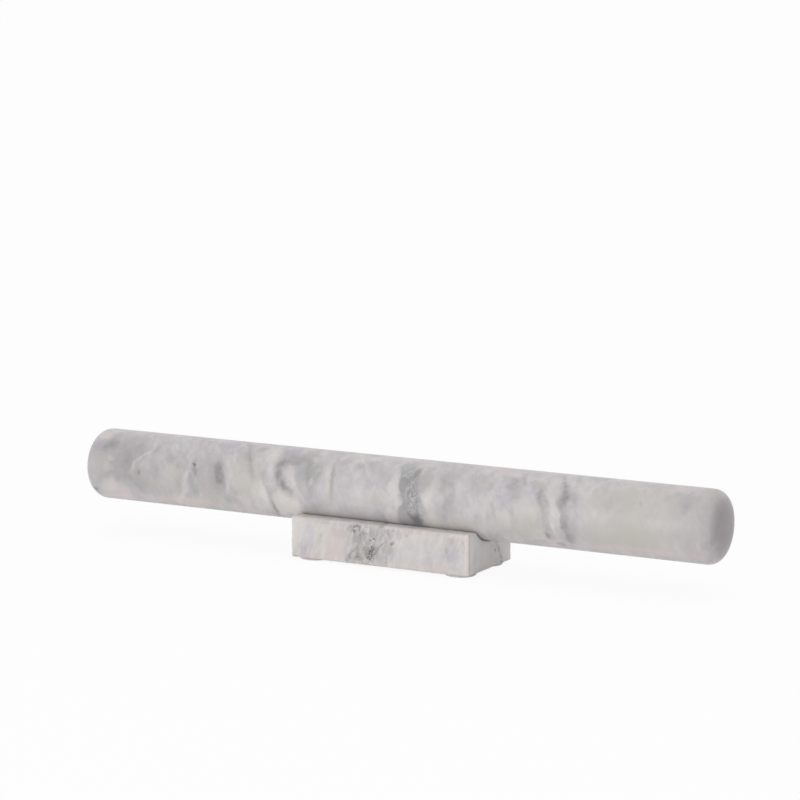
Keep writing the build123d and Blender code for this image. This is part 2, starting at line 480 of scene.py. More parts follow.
# Each vein: rows of angle round the pin (degrees), place along it (mm), strength, and half width to the left
# and, where that differs, to the right (mm)
PIN_VEINS = {
    "slate": (
        (
            (100, -112, 0, 4), (90, -110, 0.16, 4), (62, -105, 0.24, 4), (48, -102, 0.3, 4),
            (35, -98, 0.3, 4), (14, -95.5, 0.26, 3), (2, -95, 0, 3),
        ),
        (
            (54, -72, 0, 4), (44, -75.5, 0.26, 5, 5.5), (34, -76.5, 0.34, 5, 6.5),
            (16, -74.5, 0.34, 5.5, 6.5), (2, -70.5, 0.42, 6), (-8, -67.5, 0.36, 5), (-20, -63, 0, 3),
        ),
        (
            (62, -60, 0, 4, 5), (50, -58.5, 0.22, 4, 5), (40, -57, 0.3, 4, 5), (22, -55.5, 0.28, 4, 5),
            (8, -54, 0.22, 4, 5), (-8, -52, 0, 4, 5),
        ),
        (
            (60, 110, 0, 4, 6), (47, 112, 0.24, 4, 6), (30, 113.5, 0.3, 4.4, 6), (18, 115, 0.3, 4, 5.5),
            (0, 115.5, 0.28, 3, 5), (-15, 116.5, 0.22, 3, 5), (-32, 117.5, 0.28, 3, 4),
            (-42, 118, 0, 2.4, 3.4),
        ),
        (
            (90, 120, 0, 4), (75, 122, 0.2, 4, 5), (58, 125, 0.24, 4, 5), (42, 128, 0.28, 5, 6),
            (30, 128, 0.36, 6, 7), (18, 127, 0.3, 4, 5), (5, 128, 0.28, 2, 6), (-12, 128.5, 0.32, 1.8, 7),
            (-28, 131, 0.26, 2, 7), (-45, 135, 0, 3, 6),
        ),
        ((95, 129, 0, 4, 5), (85, 131, 0.18, 4, 5), (58, 138, 0.14, 4, 5), (45, 141, 0, 4, 5)),
        ((85, 94, 0, 3), (75, 95.5, 0.2, 3), (52, 98, 0.26, 3), (40, 99, 0, 3)),
    ),
    "umber": (
        (
            (24, -90, 0, 3), (15, -88, 0.3, 3, 3.4), (3, -86, 0.5, 3, 3.4), (-10, -84, 0.46, 3, 3.2),
            (-25, -82.4, 0.4, 3), (-38, -81, 0.48, 3), (-50, -81.5, 0.34, 3), (-65, -82, 0, 3),
        ),
        (
            (34, -141, 0, 1.4), (27, -140.8, 0.4, 1.6), (18, -140.4, 0.36, 2), (8, -138.5, 0.26, 2),
            (-5, -136, 0, 2),
        ),
        (
            (95, -41, 0, 3), (80, -39.5, 0.16, 3), (50, -38, 0.22, 2.8, 3), (30, -37, 0.28, 2.6, 3),
            (0, -37, 0.22, 2.6, 3), (-20, -36, 0, 3),
        ),
    ),
    "cream": (
        (
            (0, -190.5, 0, 2), (10, -189, 0.28, 2.4), (20, -186.5, 0.34, 2.4), (30, -181, 0.38, 2.4),
            (42, -176, 0.38, 2.4), (60, -176, 0.3, 2.6), (80, -178, 0.22, 2.4), (95, -180, 0, 2.4),
        ),
        (
            (-70, -160, 0, 3.4), (-55, -157, 0.44, 3.4), (-45, -155, 0.5, 3.4), (-25, -150.5, 0.46, 3),
            (-10, -148, 0.4, 3), (10, -145.5, 0.26, 2.6), (25, -143.5, 0, 2.4),
        ),
        (
            (46, -69, 0, 2.4), (38, -67, 0.34, 3.4, 3), (20, -65.5, 0.5, 3.8, 3.4), (5, -62.6, 0.42, 3.2),
            (-8, -60, 0.32, 3), (-20, -57, 0, 2.4),
        ),
        (
            (100, -27, 0, 3.4), (90, -25, 0.3, 3.4), (60, -17, 0.34, 3.4), (40, -13, 0.26, 3.4),
            (30, -11, 0, 3),
        ),
        (
            (60, -43, 0, 2.4), (40, -41, 0.24, 2.6), (20, -40.4, 0.34, 2.6), (0, -40, 0.26, 2.6),
            (-15, -40, 0, 2.4),
        ),
        (
            (70, 23, 0, 0.9), (62, 21.5, 0.26, 0.9), (52, 18.5, 0.32, 0.9), (43, 15.2, 0.32, 0.9),
            (36, 12.5, 0.34, 0.9), (30, 11, 0, 0.9),
        ),
        (
            (62, 28, 0, 0.9), (52, 26.2, 0.26, 0.9), (42, 23.4, 0.3, 0.9), (30, 20.4, 0.28, 0.9),
            (18, 18.2, 0.24, 0.9), (8, 17.6, 0, 0.9),
        ),
    ),
}

# The broad slate band: angle, its left edge and its right edge along the pin (mm), strength
PIN_BAND = (
    (85, 16, 19, 0), (72, 10, 21, 0.22), (62, 8.5, 23, 0.42), (48, 10, 26, 0.58), (38, 11.5, 28, 0.6),
    (20, 13.5, 30, 0.6), (5, 14.8, 31, 0.56), (-3, 14.6, 31, 0.52), (-14, 12, 31.5, 0.45),
    (-24, 11, 31.5, 0.4), (-36, 10.5, 31, 0.36), (-60, 10, 32, 0.36),
)

# The places along the pin that the band's edges stay between (mm)
BAND_START = 0.0
BAND_END = 40.0

# Knots and patches in the band, in the same rows as the clouds
BAND_KNOTS = {
    "dark": (
        (22.5, 47, 3.2, 6, 0.5), (17.5, 30, 5, 7, 0.16), (21.5, 18, 4, 5, 0.36), (26, -6, 3, 3.4, 0.42),
        (27, 9, 3.4, 7, 0.42), (24, -30, 5, 7, 0.32), (20.5, -17, 2, 3, 0.4),
    ),
    "navy": ((23.5, -29, 3.6, 6, 0.36, -10), (27.5, -28, 2.8, 8, 0.42, -6)),
    "pale": (
        (24.5, 6, 5.4, 9, 0.5), (23, -10, 4, 5, 0.46), (20.5, 26, 5, 7, 0.34, -20), (17.5, 46, 6, 5, 0.22),
        (29, 14, 3, 4, 0.36), (28, -14, 3, 2.6, 0.3), (15.5, 40, 3, 2.6, 0.3),
    ),
}

# Veins that run through the whole stone, seen from the back too: place along the pin (mm), how far it leans
# along the pin to the back and upwards (mm per mm), half width (mm), strength
PIN_DEEP_VEINS = (
    (-206, 0.3, 0.1, 4, 0.35), (-163, -0.25, 0.2, 7, 0.3), (-121, 0.35, -0.25, 5, 0.45),
    (-96, 0.15, -0.3, 3, 0.45), (-77, -0.2, -0.15, 4, 0.6), (-37, 0.05, 0.05, 1.6, 0.2),
    (20, 0.12, -0.1, 11, 0.7), (46, -0.3, 0.1, 4, 0.3), (92, 0.25, 0.1, 5, 0.3), (115, 0.1, -0.15, 4, 0.5),
    (131, 0.3, 0.1, 6, 0.5), (182, -0.4, 0.3, 5, 0.18),
)

# The angles round the pin that its drawing reaches
PIN_ANGLES = (-110.0, 130.0)


def band_mask(sheet, across, up):
    """The broad slate band, with a crisp left edge and a soft right one."""
    reach = BAND_END - BAND_START
    points = []
    for angle, left, right, strength in reversed(PIN_BAND):
        edges = [(edge - BAND_START) / reach for edge in (left, right)]
        points.append((angle, (*edges, strength, 1.0)))
    left, right, strength = sheet.curve(up, *PIN_ANGLES, points)[:3]
    left = sheet.maths("MULTIPLY_ADD", left, reach, BAND_START)
    right = sheet.maths("MULTIPLY_ADD", right, reach, BAND_START)
    past_left = sheet.fade(across - left, -0.8, 1.6)
    before_right = sheet.fade(right - across, -3.5, 6.5)
    return past_left * before_right * strength


# Light goes a few millimetres into marble
MARBLE_DEPTH = {
    "Subsurface Weight": 0.3,
    "Subsurface Radius": (1.0, 0.75, 0.55),
    "Subsurface Scale": 6 * MM,
    "Specular IOR Level": 0.55,
}


def drawn_on_pin(rows):
    """Rows of clouds with their angles turned into millimetres round the pin."""
    per_degree = math.radians(1) * PIN_RADIUS / MM
    return [(x, turn * per_degree, *rest) for x, turn, *rest in rows]


def pin_stone(colours):
    """Honed white marble with smoky clouds, a slate band and thin healed cracks."""
    material, sheet = new_material("pin_marble_honed")
    place = object_place(sheet)
    axis_height = PIN_CENTRE.z / MM
    radius = PIN_RADIUS / MM
    right_end = PIN_HIGH.x / MM

    # Large and small wander, so that no edge is a drawn one
    wander = sheet.noise(place, 16, detail=2, output=COLOUR)
    shiver = sheet.noise(place, 3.2, detail=4, roughness=0.65, output=COLOUR)
    wander_x, wander_s = sheet.parts(wander)[:2]
    shiver_x, shiver_s = sheet.parts(shiver)[:2]
    move_x = (wander_x - 0.5) * 7 + (shiver_x - 0.5) * 4
    move_s = (wander_s - 0.5) * 8 + (shiver_s - 0.5) * 5

    along, behind, height = sheet.axes(place)
    angle = sheet.maths("ARCTAN2", height - axis_height, behind * -1.0)
    across = along + move_x
    round_pin = angle * radius + move_s
    drawing = sheet.point(across, round_pin, 1.0)
    degrees = round_pin * (180 / math.pi / radius)
    front = sheet.fade(behind, -2, 13, 1, 0)

    # Strength of each tint
    grain = sheet.noise(place, 2.4, detail=4, roughness=0.65)
    patch = sheet.noise(place, 7.5, detail=4, roughness=0.6)
    uneven = sheet.maths("MULTIPLY_ADD", patch, 1.2, 0.40)
    broken = sheet.maths("MULTIPLY_ADD", grain, 1.0, 0.50) * uneven
    tints = {}
    for tint, rows in PIN_CLOUDS.items():
        rows = drawn_on_pin(rows)
        veins = PIN_VEINS.get(tint, ())
        total = drawn_tint(sheet, f"pin_{tint}", drawing, across, degrees, rows, veins, PIN_ANGLES)
        tints[tint] = total * front * (broken if tint in ("slate", "umber", "cream") else uneven)

    # The ground: smoky layers nearly square to the pin, a fine mottle and a slow drift from pale to grey
    smoky = sheet.stretched(place, (0, 12, -14), (9, 24, 22))
    smoke = sheet.noise(smoky, 1, detail=4, roughness=0.6, distortion=0.6)
    mottled = sheet.stretched(place, (0, -24, 20), (3.4, 7, 7))
    mottle = sheet.noise(mottled, 1, detail=4, roughness=0.65, distortion=0.8)
    drift = sheet.noise(place, 55, detail=2)
    livelier = sheet.fade(along, -175, -155) * sheet.fade(along, -85, -60, 1, 0)
    depth = sheet.fade(smoke, 0.34, 0.68) * 0.46 + sheet.fade(drift, 0.3, 0.7) * 0.16
    depth = depth + sheet.fade(mottle, 0.34, 0.70) * sheet.maths("MULTIPLY_ADD", livelier, 0.26, 0.42)
    colour = sheet.mix(depth, colours.light, colours.shade)
    hue = sheet.noise(place, 14, detail=3, output=COLOUR)
    warm, cool, other = sheet.parts(hue)
    colour = sheet.mix(sheet.fade(warm, 0.5, 0.72, 0, 0.40), colour, colours.blush)
    colour = sheet.mix(sheet.fade(cool, 0.5, 0.72, 0, 0.18), colour, colours.olive)
    colour = sheet.mix(sheet.fade(cool, 0.28, 0.5, 0.6, 0), colour, colours.beige)
    colour = sheet.mix(sheet.fade(other, 0.5, 0.72, 0, 0.24), colour, colours.lilac)

    # Veins through the stone, for the sides that no drawing covers
    back = 1 - front
    total = 0.0
    moved = sheet.point(across, behind, height - axis_height)
    for at, to_back, upwards, half_width, strength in PIN_DEEP_VEINS:
        apart = sheet.maths("ABSOLUTE", sheet.dot(moved, (1, -to_back, -upwards)) - at)
        total = sheet.fade(apart, 0, half_width * 1.4, strength, 0) + total
    colour = sheet.mix(total * back * broken * sheet.fade(smoke, 0.25, 0.6, 0.5, 1), colour, colours.slate)

    for tint in ("smoke", "beige", "blush", "lilac", "olive", "slate", "umber"):
        colour = sheet.mix(tints[tint], colour, getattr(colours, tint))

    # The broad band: green-grey at its top, slate below and inky at its foot, with pale crystals in it
    band = band_mask(sheet, across, degrees) * front
    knots = {}
    for kind, rows in BAND_KNOTS.items():
        rows = drawn_on_pin(rows)
        drawn = drawn_tint(sheet, f"band_{kind}", drawing, across, degrees, rows, (), PIN_ANGLES)
        knots[kind] = drawn * front
    band_colour = sheet.mix(sheet.fade(degrees, 30, 52), colours.slate, colours.moss)
    blotched = band * sheet.maths("MULTIPLY_ADD", patch, 0.8, 0.60)
    colour = sheet.mix(blotched * sheet.maths("MULTIPLY_ADD", grain, 0.5, 0.74), colour, band_colour)
    colour = sheet.mix(knots["dark"] * broken, colour, colours.slate)
    colour = sheet.mix(knots["navy"] * uneven, colour, colours.ink)
    crystals = sheet.noise(sheet.stretched(place, (0, 30, -35), (0.8, 1.5, 1.5)), 1, detail=3, roughness=0.6)
    colour = sheet.mix(knots["pale"] * sheet.fade(crystals, 0.50, 0.62), colour, colours.cream)
    colour = sheet.mix(knots["pale"] * sheet.fade(crystals, 0.32, 0.44, 0.6, 0), colour, colours.ink)
    colour = sheet.mix(tints["cream"], colour, colours.cream)

    # The right end is darker: partly a greyer layer of the stone, and partly painted shade on the rounded
    # end, which faces away from the light
    end = sheet.fade(along + (patch - 0.5) * 2.0, right_end - 4.4, right_end - 0.6, 0, 0.58)
    end = end + sheet.fade(along, right_end - 34, right_end - 10, 0, 0.20)
    colour = sheet.mix(end, colour, colours.dusk_and_end_shade)

    # Sugar-fine crystals
    sugar = sheet.noise(place, 0.7, detail=3, roughness=0.7)
    colour = sheet.mix(sheet.fade(sugar, 0.3, 0.75, 0, 0.10), colour, colours.shade)

    roughness = sheet.maths("MULTIPLY_ADD", grain, 0.10, 0.41)
    pits = sheet.fade(sheet.noise(place, 0.55, detail=2), 0.68, 0.8, 0, -1)
    surface = sugar * 0.35 + sheet.noise(place, 9, detail=2) * 0.8 + pits
    normal = sheet.bump(surface, 0.25, 0.06)
    finish_material(sheet, colour, roughness, normal, **MARBLE_DEPTH)
    return material


# The cradle's stone

# Drawn on the front face: place along X (mm), height (mm), half width, half height, strength and any lean
CRADLE_FRONT = {
    "slate": (
        (-4.2, 8.8, 2.6, 4, 0.52, 10), (-3.6, 9.4, 5.4, 6.4, 0.4, 15), (-2.2, 13, 2.2, 2.8, 0.36, 25),
        (-7.5, 12.5, 2, 1.8, 0.36), (-20, 5, 2.6, 4, 0.16, 25), (8, 14, 6, 5, 0.1),
        (-1, 19.3, 1.8, 1.4, 0.8, 20), (-3.6, 17.9, 1.7, 1.3, 0.6), (4, 28, 3, 1.8, 0.75, 15),
        (12.4, 17.4, 2, 1.8, 0.52), (14, 19, 1.8, 1.4, 0.35, 40), (9, 25, 2.2, 2.4, 0.4),
        (13, 26, 1.8, 1.5, 0.26), (22, 24, 1.8, 1.6, 0.22), (-15, 23.4, 1.7, 2.2, 0.7),
        (-14, 27, 2.8, 2.2, 0.6), (-8, 22, 2.4, 2.2, 0.3), (-7, 27.5, 1.9, 1.5, 0.36),
    ),
    "smoke": (
        (-10, 12, 15, 18, 0.72, 10), (-13, 21, 6, 7, 0.45), (2, 24, 12, 7, 0.4, 10),
        (7, 13, 9, 13, 0.52, 12), (-2, 11, 5, 8, 0.45, 10), (-26, 22, 9, 6, 0.26, 10),
        (-18, 25.5, 5, 4, 0.5), (14, 23.5, 7, 5, 0.34), (58, 24, 12, 4.5, 0.22), (-54, 6, 16, 9, 0.26),
        (-42, 12, 4, 10, 0.18, 18), (-28, 27.6, 34, 2.8, 0.4), (34, 27.6, 30, 2.4, 0.26),
        (54, 16, 8, 9, 0.26, 8), (40, 10, 5, 5, 0.16),
    ),
    "olive": (
        (-12.5, 5.6, 3.8, 2.4, 0.7), (-12.6, 8, 2.4, 2.6, 0.6), (-12.2, 12.5, 1.5, 3.8, 0.4, 4),
        (-11, 26.5, 2.2, 2.2, 0.4), (-40, 16, 2.2, 6, 0.18, 14), (22.5, 24.5, 2.4, 2, 0.14),
        (38, 14.5, 3, 1.8, 0.18), (55, 24.5, 3.4, 1.3, 0.22, 8), (57.5, 6, 5, 1.8, 0.16, 6),
    ),
    "lilac": (
        (-50, 13, 6, 15, 0.8, 12), (-12, 20, 6, 7, 0.4, 8), (4, 8, 8, 7, 0.8), (14, 11, 6, 9, 0.55, 8),
        (38, 19, 5, 6, 0.45, 8), (36, 8.5, 7, 3, 0.6), (56, 15, 8, 9, 0.8, 6), (46, 12, 5, 9, 0.5, 10),
        (-20, 9, 5, 8, 0.4, 15),
    ),
    "blush": (
        (-27, 16, 13, 14, 0.55, 10), (-25, 9, 4, 6, 0.6, 25), (-30, 20, 4, 7, 0.5, 20), (-34, 7, 9, 6, 0.6),
        (-44, 25, 12, 4, 0.5), (1.5, 3.6, 8, 1.8, 0.7, 3), (30, 27, 18, 2.6, 0.6, 3), (47, 5, 9, 3.6, 0.6),
        (-45, 4, 10, 3, 0.6), (-12, 18, 8, 9, 0.4),
    ),
}

# Veins on the front face: rows of height (mm), place along X (mm), strength and half width (mm)
CRADLE_FRONT_VEINS = {
    "slate": (
        (
            (1, -21.5, 0.22, 1.8), (4, -20.6, 0.28, 2), (8, -19, 0.32, 1.8), (11, -15.5, 0.34, 1.8),
            (14, -13, 0, 1.8),
        ),
        ((8, -2, 0, 1.2), (11, 0, 0.4, 1.6), (14, 2.6, 0.36, 1.5), (17, 5, 0.5, 1.4), (19.5, 8, 0, 1.2)),
        (
            (12, -10.2, 0, 1), (16, -10.4, 0.28, 1), (22, -11, 0.32, 1.1), (25, -11.2, 0.4, 1.4),
            (29, -11, 0.36, 1.6),
        ),
        ((17, -1, 0, 0.9), (20, 0.2, 0.24, 1), (25, 2.2, 0.34, 1.2), (28.5, 4, 0.4, 1.6)),
        ((1, -5.2, 0.28, 1.2), (4, -4.8, 0.26, 1.4), (7, -4.2, 0.2, 1.4)),
        ((3, 8.2, 0.16, 1.2), (6, 8.6, 0.22, 1.3), (10, 9.4, 0, 1.3)),
        ((10, 53.6, 0, 1.4), (13, 52.6, 0.24, 1.5), (16, 51.6, 0.26, 1.6), (20, 50.4, 0, 1.4)),
    ),
    "olive": (
        ((20, 44.4, 0, 1.2), (23, 45, 0.22, 1.3), (28, 45.6, 0.2, 1.2)),
        ((3, 40.6, 0.18, 1.2), (6, 41, 0.24, 1.2), (10, 41.6, 0, 1.2)),
    ),
}

# Drawn on the right face: place along Y (mm), height (mm), half width, half height, strength and any lean
CRADLE_RIGHT = {
    "slate": ((7.5, 11.7, 2, 1.6, 0.42), (17, 3, 2.6, 2.2, 0.2), (14, 8, 6, 8, 0.06)),
    "olive": ((1.5, 9.5, 4, 2.2, 0.1), (-11, 19.5, 3.4, 2.2, 0.2, -20)),
    "lilac": (
        (-21, 12.5, 3.4, 8, 0.4, 8), (-12, 10, 4.4, 3.6, 0.25), (3, 15, 4.4, 2.4, 0.25, -15),
        (10, 6, 4, 4, 0.3),
    ),
    "blush": ((-9, 4, 8, 2.2, 0.5), (-20, 4, 8, 2.2, 0.5)),
}

# Veins on the right face: the same rows, with places along Y
CRADLE_RIGHT_VEINS = {
    "slate": (
        (
            (1, 17, 0.2, 3), (4, 15.6, 0.3, 3), (8, 14, 0.32, 3), (12, 12, 0.3, 3), (16, 9.4, 0.24, 3),
            (22, 8, 0, 3),
        ),
    ),
    "olive": (
        ((3, 10, 0, 1.4), (5, 7, 0.34, 1.4), (6, 1.5, 0.38, 1.4), (7, -4, 0.3, 1.4), (8.4, -9, 0, 1.4)),
    ),
}

# The heights that the cradle's drawings reach (mm)
CRADLE_HEIGHTS = (0.0, 32.0)


def cradle_drawing(sheet, face, across, height, clouds, veins):
    """Strength of each tint drawn on one face."""
    drawing = sheet.point(across, height, 1.0)
    tints = {}
    for tint, rows in clouds.items():
        name = f"cradle_{face}_{tint}"
        lines = veins.get(tint, ())
        tints[tint] = drawn_tint(sheet, name, drawing, across, height, rows, lines, CRADLE_HEIGHTS)
    return tints


def cradle_stone(colours):
    """Honed warm white marble with speckled purple-black veins and paler worn edges."""
    material, sheet = new_material("cradle_marble_honed")
    place = object_place(sheet)
    left_end, front_face, bottom = (value / MM for value in BLOCK_LOW)
    right_end, rear_face, top = (value / MM for value in BLOCK_HIGH)

    # Large and small wander, so that no edge is a drawn one
    shiver = sheet.noise(place, 2.2, detail=3, roughness=0.65, output=COLOUR)
    wander = sheet.noise(place, 11, detail=2, output=COLOUR)
    wander_x, wander_y, wander_z = sheet.parts(wander)
    shiver_x, shiver_y, shiver_z = sheet.parts(shiver)
    along, behind, height = sheet.axes(place)
    across = along + (wander_x - 0.5) * 3 + (shiver_x - 0.5) * 3
    deep = behind + (wander_y - 0.5) * 3 + (shiver_y - 0.5) * 3
    up = height + (wander_z - 0.5) * 3 + (shiver_z - 0.5) * 3

    speckle = sheet.noise(place, 1.5, detail=4, roughness=0.7)
    patch = sheet.noise(place, 6, detail=3, roughness=0.6)
    broken = sheet.fade(speckle, 0.41, 0.59, 0.12, 1.55)
    soft = sheet.fade(sheet.noise(place, 4.5, detail=3, roughness=0.6), 0.34, 0.64, 0.45, 1.25)
    streak = sheet.noise(sheet.stretched(place, (0, 22, 0), (3, 6, 9)), 1, detail=4, roughness=0.65)
    streaky = sheet.fade(streak, 0.34, 0.62, 0.35, 1.4)
    near_front = sheet.fade(behind, front_face + 10, front_face + 26, 1, 0)
    near_right = sheet.fade(along, right_end - 9, right_end - 1, 0, 1)
    on_front = near_front * (1 - near_right)

    # The ground and its slow tints
    smoky = sheet.stretched(place, (0, 10, 25), (9, 16, 22))
    smoke = sheet.noise(smoky, 1, detail=4, roughness=0.55, distortion=0.5)
    drift = sheet.noise(place, 35, detail=2)
    depth = sheet.fade(smoke, 0.36, 0.70) * 0.5 + sheet.fade(drift, 0.3, 0.7) * 0.3
    depth = depth + sheet.fade(streak, 0.34, 0.66) * 0.45
    depth = depth * sheet.fade(along, left_end, -46, 0.2, 1) * sheet.fade(along, 62, right_end - 0.5, 1, 0.1)
    colour = sheet.mix(depth, colours.light, colours.shade)
    hue = sheet.noise(place, 13, detail=2, output=COLOUR)
    warm, cool, other = sheet.parts(hue)
    colour = sheet.mix(sheet.fade(warm, 0.5, 0.75, 0, 0.35), colour, colours.blush)
    colour = sheet.mix(sheet.fade(cool, 0.52, 0.75, 0, 0.10), colour, colours.olive)
    colour = sheet.mix(sheet.fade(other, 0.52, 0.75, 0, 0.30), colour, colours.lilac)

    front = cradle_drawing(sheet, "front", across, up, CRADLE_FRONT, CRADLE_FRONT_VEINS)
    right = cradle_drawing(sheet, "right", deep, up, CRADLE_RIGHT, CRADLE_RIGHT_VEINS)
    ragged = sheet.fade(speckle, 0.36, 0.62, 0.5, 1.2)
    for tint, texture in (("blush", streaky), ("lilac", streaky), ("smoke", streaky), ("olive", ragged)):
        total = front[tint] * on_front
        if tint in right:
            total = total + right[tint] * near_right
        colour = sheet.mix(total * texture, colour, getattr(colours, tint))

    # Cracks through the stone where nothing is drawn
    back = (1 - near_front) * (1 - near_right)
    moved = sheet.stretched(sheet.point(across, deep, up), (20, 15, 30), (1, 1.6, 2.2))
    settings = {"feature": "DISTANCE_TO_EDGE"}
    cells = sheet.node("ShaderNodeTexVoronoi", settings, {"Vector": moved, "Scale": 1 / 21})[0]
    cracks = sheet.fade(cells, 0.0, 0.07, 1, 0) * sheet.fade(patch, 0.42, 0.68)
    total = front["slate"] * on_front + right["slate"] * near_right + cracks * back * 0.5
    colour = sheet.mix(total * broken, colour, colours.slate)

    crystals = sheet.noise(place, 0.6, detail=3, roughness=0.7)
    colour = sheet.mix(sheet.fade(crystals, 0.3, 0.75, 0, 0.12), colour, colours.shade)

    # Painted shade: the top of the cradle beside the groove is darkened towards the smoke grey, standing in
    # for the shade that the pin casts on it
    flat = sheet.fade(height, top - 1.6, top - 0.5)
    colour = sheet.mix(flat * 0.50, colour, colours.smoke)

    # Worn edges are paler: where two outer faces are near
    from_side = sheet.maths("MINIMUM", behind - front_face, rear_face - behind)
    from_end = sheet.maths("MINIMUM", along - left_end, right_end - along)
    from_level = sheet.maths("MINIMUM", height - bottom, top - height)
    nearer = sheet.maths("MINIMUM", from_side + from_level, from_end + from_level)
    nearer = sheet.maths("MINIMUM", from_side + from_end, nearer)
    worn = sheet.fade(nearer + (speckle - 0.5) * 1.5, 0.7, 2.4, 1, 0)
    colour = sheet.mix(worn * 0.24, colour, colours.edge)

    # The front right edge is worn broadest, with a ragged rust stain to its left and a thin one to its right
    from_right = right_end - along
    from_front = behind - front_face
    on_face = sheet.fade(from_front, 0.6, 1.8, 1, 0)
    notched = from_right + (sheet.noise(place, 2.6, detail=3) - 0.5) * 4.5
    broad = sheet.fade(notched, 2.2, 3.4, 1, 0) * on_face
    colour = sheet.mix(broad * 0.75, colour, colours.edge)
    beside = sheet.fade(notched, 2.6, 3.3) * sheet.fade(notched, 3.4, 4.6, 1, 0) * on_face
    past = sheet.fade(from_front, 0.6, 1.3) * sheet.fade(from_front, 1.5, 2.6, 1, 0)
    past = past * sheet.fade(from_right, 0.4, 1.2, 1, 0)
    rusty = beside * sheet.fade(patch, 0.46, 0.60) * 0.28 + past * soft * 0.35
    colour = sheet.mix(rusty, colour, colours.rust)

    roughness = sheet.maths("MULTIPLY_ADD", speckle, 0.12, 0.42) + worn * 0.12
    pits = sheet.fade(sheet.noise(place, 0.5, detail=2), 0.66, 0.8, 0, -1)
    surface = crystals * 0.4 + sheet.noise(place, 7, detail=2) * 0.8 + pits
    normal = sheet.bump(surface, 0.3, 0.08)
    finish_material(sheet, colour, roughness, normal, **MARBLE_DEPTH)
    return material


# The feet and their adhesive


def foot_material():
    """Clear soft plastic, a little clouded, with fine dust on it."""
    material, sheet = new_material("clear_foot_plastic")
    place = object_place(sheet)
    cloud = sheet.noise(place, 4, detail=3)
    dust = sheet.noise(place, 0.5, detail=3, roughness=0.7)
    colour = sheet.mix(sheet.fade(cloud, 0.35, 0.7), shown(230, 226, 223), shown(220, 216, 213))
    colour = sheet.mix(sheet.fade(dust, 0.58, 0.75, 0, 0.35), colour, shown(206, 202, 199))
    roughness = sheet.maths("MULTIPLY_ADD", cloud, 0.15, 0.24)
    normal = sheet.bump(dust, 0.2, 0.04)
    finish_material(sheet, colour, roughness, normal, **{"Transmission Weight": 0.12, "IOR": 1.49})
    return material


def adhesive_material():
    """A thin film of milky adhesive with small trapped bubbles."""
    material, sheet = new_material("adhesive_film_milky")
    place = object_place(sheet)
    inputs = {"Vector": place, "Scale": 1 / 1.3}
    bubbles = sheet.node("ShaderNodeTexVoronoi", {"feature": "F1"}, inputs)[0]
    cloud = sheet.noise(place, 3, detail=3)
    colour = sheet.mix(sheet.fade(cloud, 0.35, 0.7), shown(222, 220, 212), shown(208, 205, 196))
    colour = sheet.mix(sheet.fade(bubbles, 0.16, 0.26, 0.5, 0), colour, shown(236, 235, 230))
    roughness = sheet.maths("MULTIPLY_ADD", cloud, 0.2, 0.45)
    normal = sheet.bump(cloud, 0.2, 0.03)
    finish_material(sheet, colour, roughness, normal)
    return material


# Modelling helpers

# Two places nearer than this are the same
HAIR = 0.01 * MM

# How upright the normal of a nearly level face is at least, and of a quite level one
NEARLY_LEVEL = 0.9
LEVEL = 0.9999


def clear_selection():
    if bpy.context.object and bpy.context.object.mode != "OBJECT":
        bpy.ops.object.mode_set(mode="OBJECT")
    bpy.ops.object.select_all(action="DESELECT")


def edit_new_piece(name):
    """Names the primitive just added and opens it for editing with its place in its mesh."""
    piece = bpy.context.object
    piece.name = name
    piece.data.name = name
    bpy.ops.object.transform_apply(location=True, rotation=True, scale=True)
    bpy.ops.object.mode_set(mode="EDIT")
    return piece


def pick(piece, kind, wanted):
    """Selects the vertices, edges or faces for which wanted() holds."""
    bpy.ops.mesh.select_mode(type=kind)
    bpy.ops.mesh.select_all(action="DESELECT")
    mesh = bmesh.from_edit_mesh(piece.data)
    parts = {"VERT": mesh.verts, "EDGE": mesh.edges, "FACE": mesh.faces}[kind]
    found = [part for part in parts if wanted(part)]
    if not found:
        raise RuntimeError(f"nothing to shape was found on {piece.name}")
    for part in found:
        part.select_set(True)
    mesh.select_flush_mode()
    bmesh.update_edit_mesh(piece.data)


def close_mesh(threshold):
    """Merges the doubles of the mesh in edit mode and turns its faces outwards."""
    bpy.ops.mesh.select_all(action="SELECT")
    bpy.ops.mesh.remove_doubles(threshold=threshold)
    bpy.ops.mesh.normals_make_consistent(inside=False)
    bpy.ops.object.mode_set(mode="OBJECT")


def apply_modifier(piece, kind, **settings):
    modifier = piece.modifiers.new(kind.title(), kind)
    for setting, value in settings.items():
        setattr(modifier, setting, value)
    bpy.context.view_layer.objects.active = piece
    bpy.ops.object.modifier_apply(modifier=modifier.name)


def set_piece(piece, body, slot, material, *nodes):
    """Gives a finished piece its material and its place on the moving model."""
    piece.data.materials.clear()
    piece.data.materials.append(material)
    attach(piece, body)
    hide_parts(*nodes)


# The rolling pin


def pin_profile(settings):
    """Half of the pin's outline, from right to left, as places along it and distances from its axis."""
    half = (PIN_HIGH.x - PIN_LOW.x) / 2
    rim, dome = settings.rim_radius, settings.dome_radius
    rim_centre_out = PIN_RADIUS - rim
    dome_centre = half - dome
    rim_centre = dome_centre + math.sqrt((dome - rim) ** 2 - rim_centre_out**2)
    join = math.asin(rim_centre_out / (dome - rim))
    points = []
    for step in range(settings.dome_steps + 1):
        angle = join * step / settings.dome_steps
        points.append((dome_centre + dome * math.cos(angle), dome * math.sin(angle)))
    for step in range(1, settings.rim_steps + 1):
        angle = join + (math.pi / 2 - join) * step / settings.rim_steps
        points.append((rim_centre + rim * math.cos(angle), rim_centre_out + rim * math.sin(angle)))
    slices = round(2 * rim_centre / settings.slice_length)
    for step in range(1, slices):
        points.append((rim_centre * (1 - 2 * step / slices), PIN_RADIUS))
    left = [(-x, out) for x, out in reversed(points[: settings.dome_steps + settings.rim_steps + 1])]
    return points + left


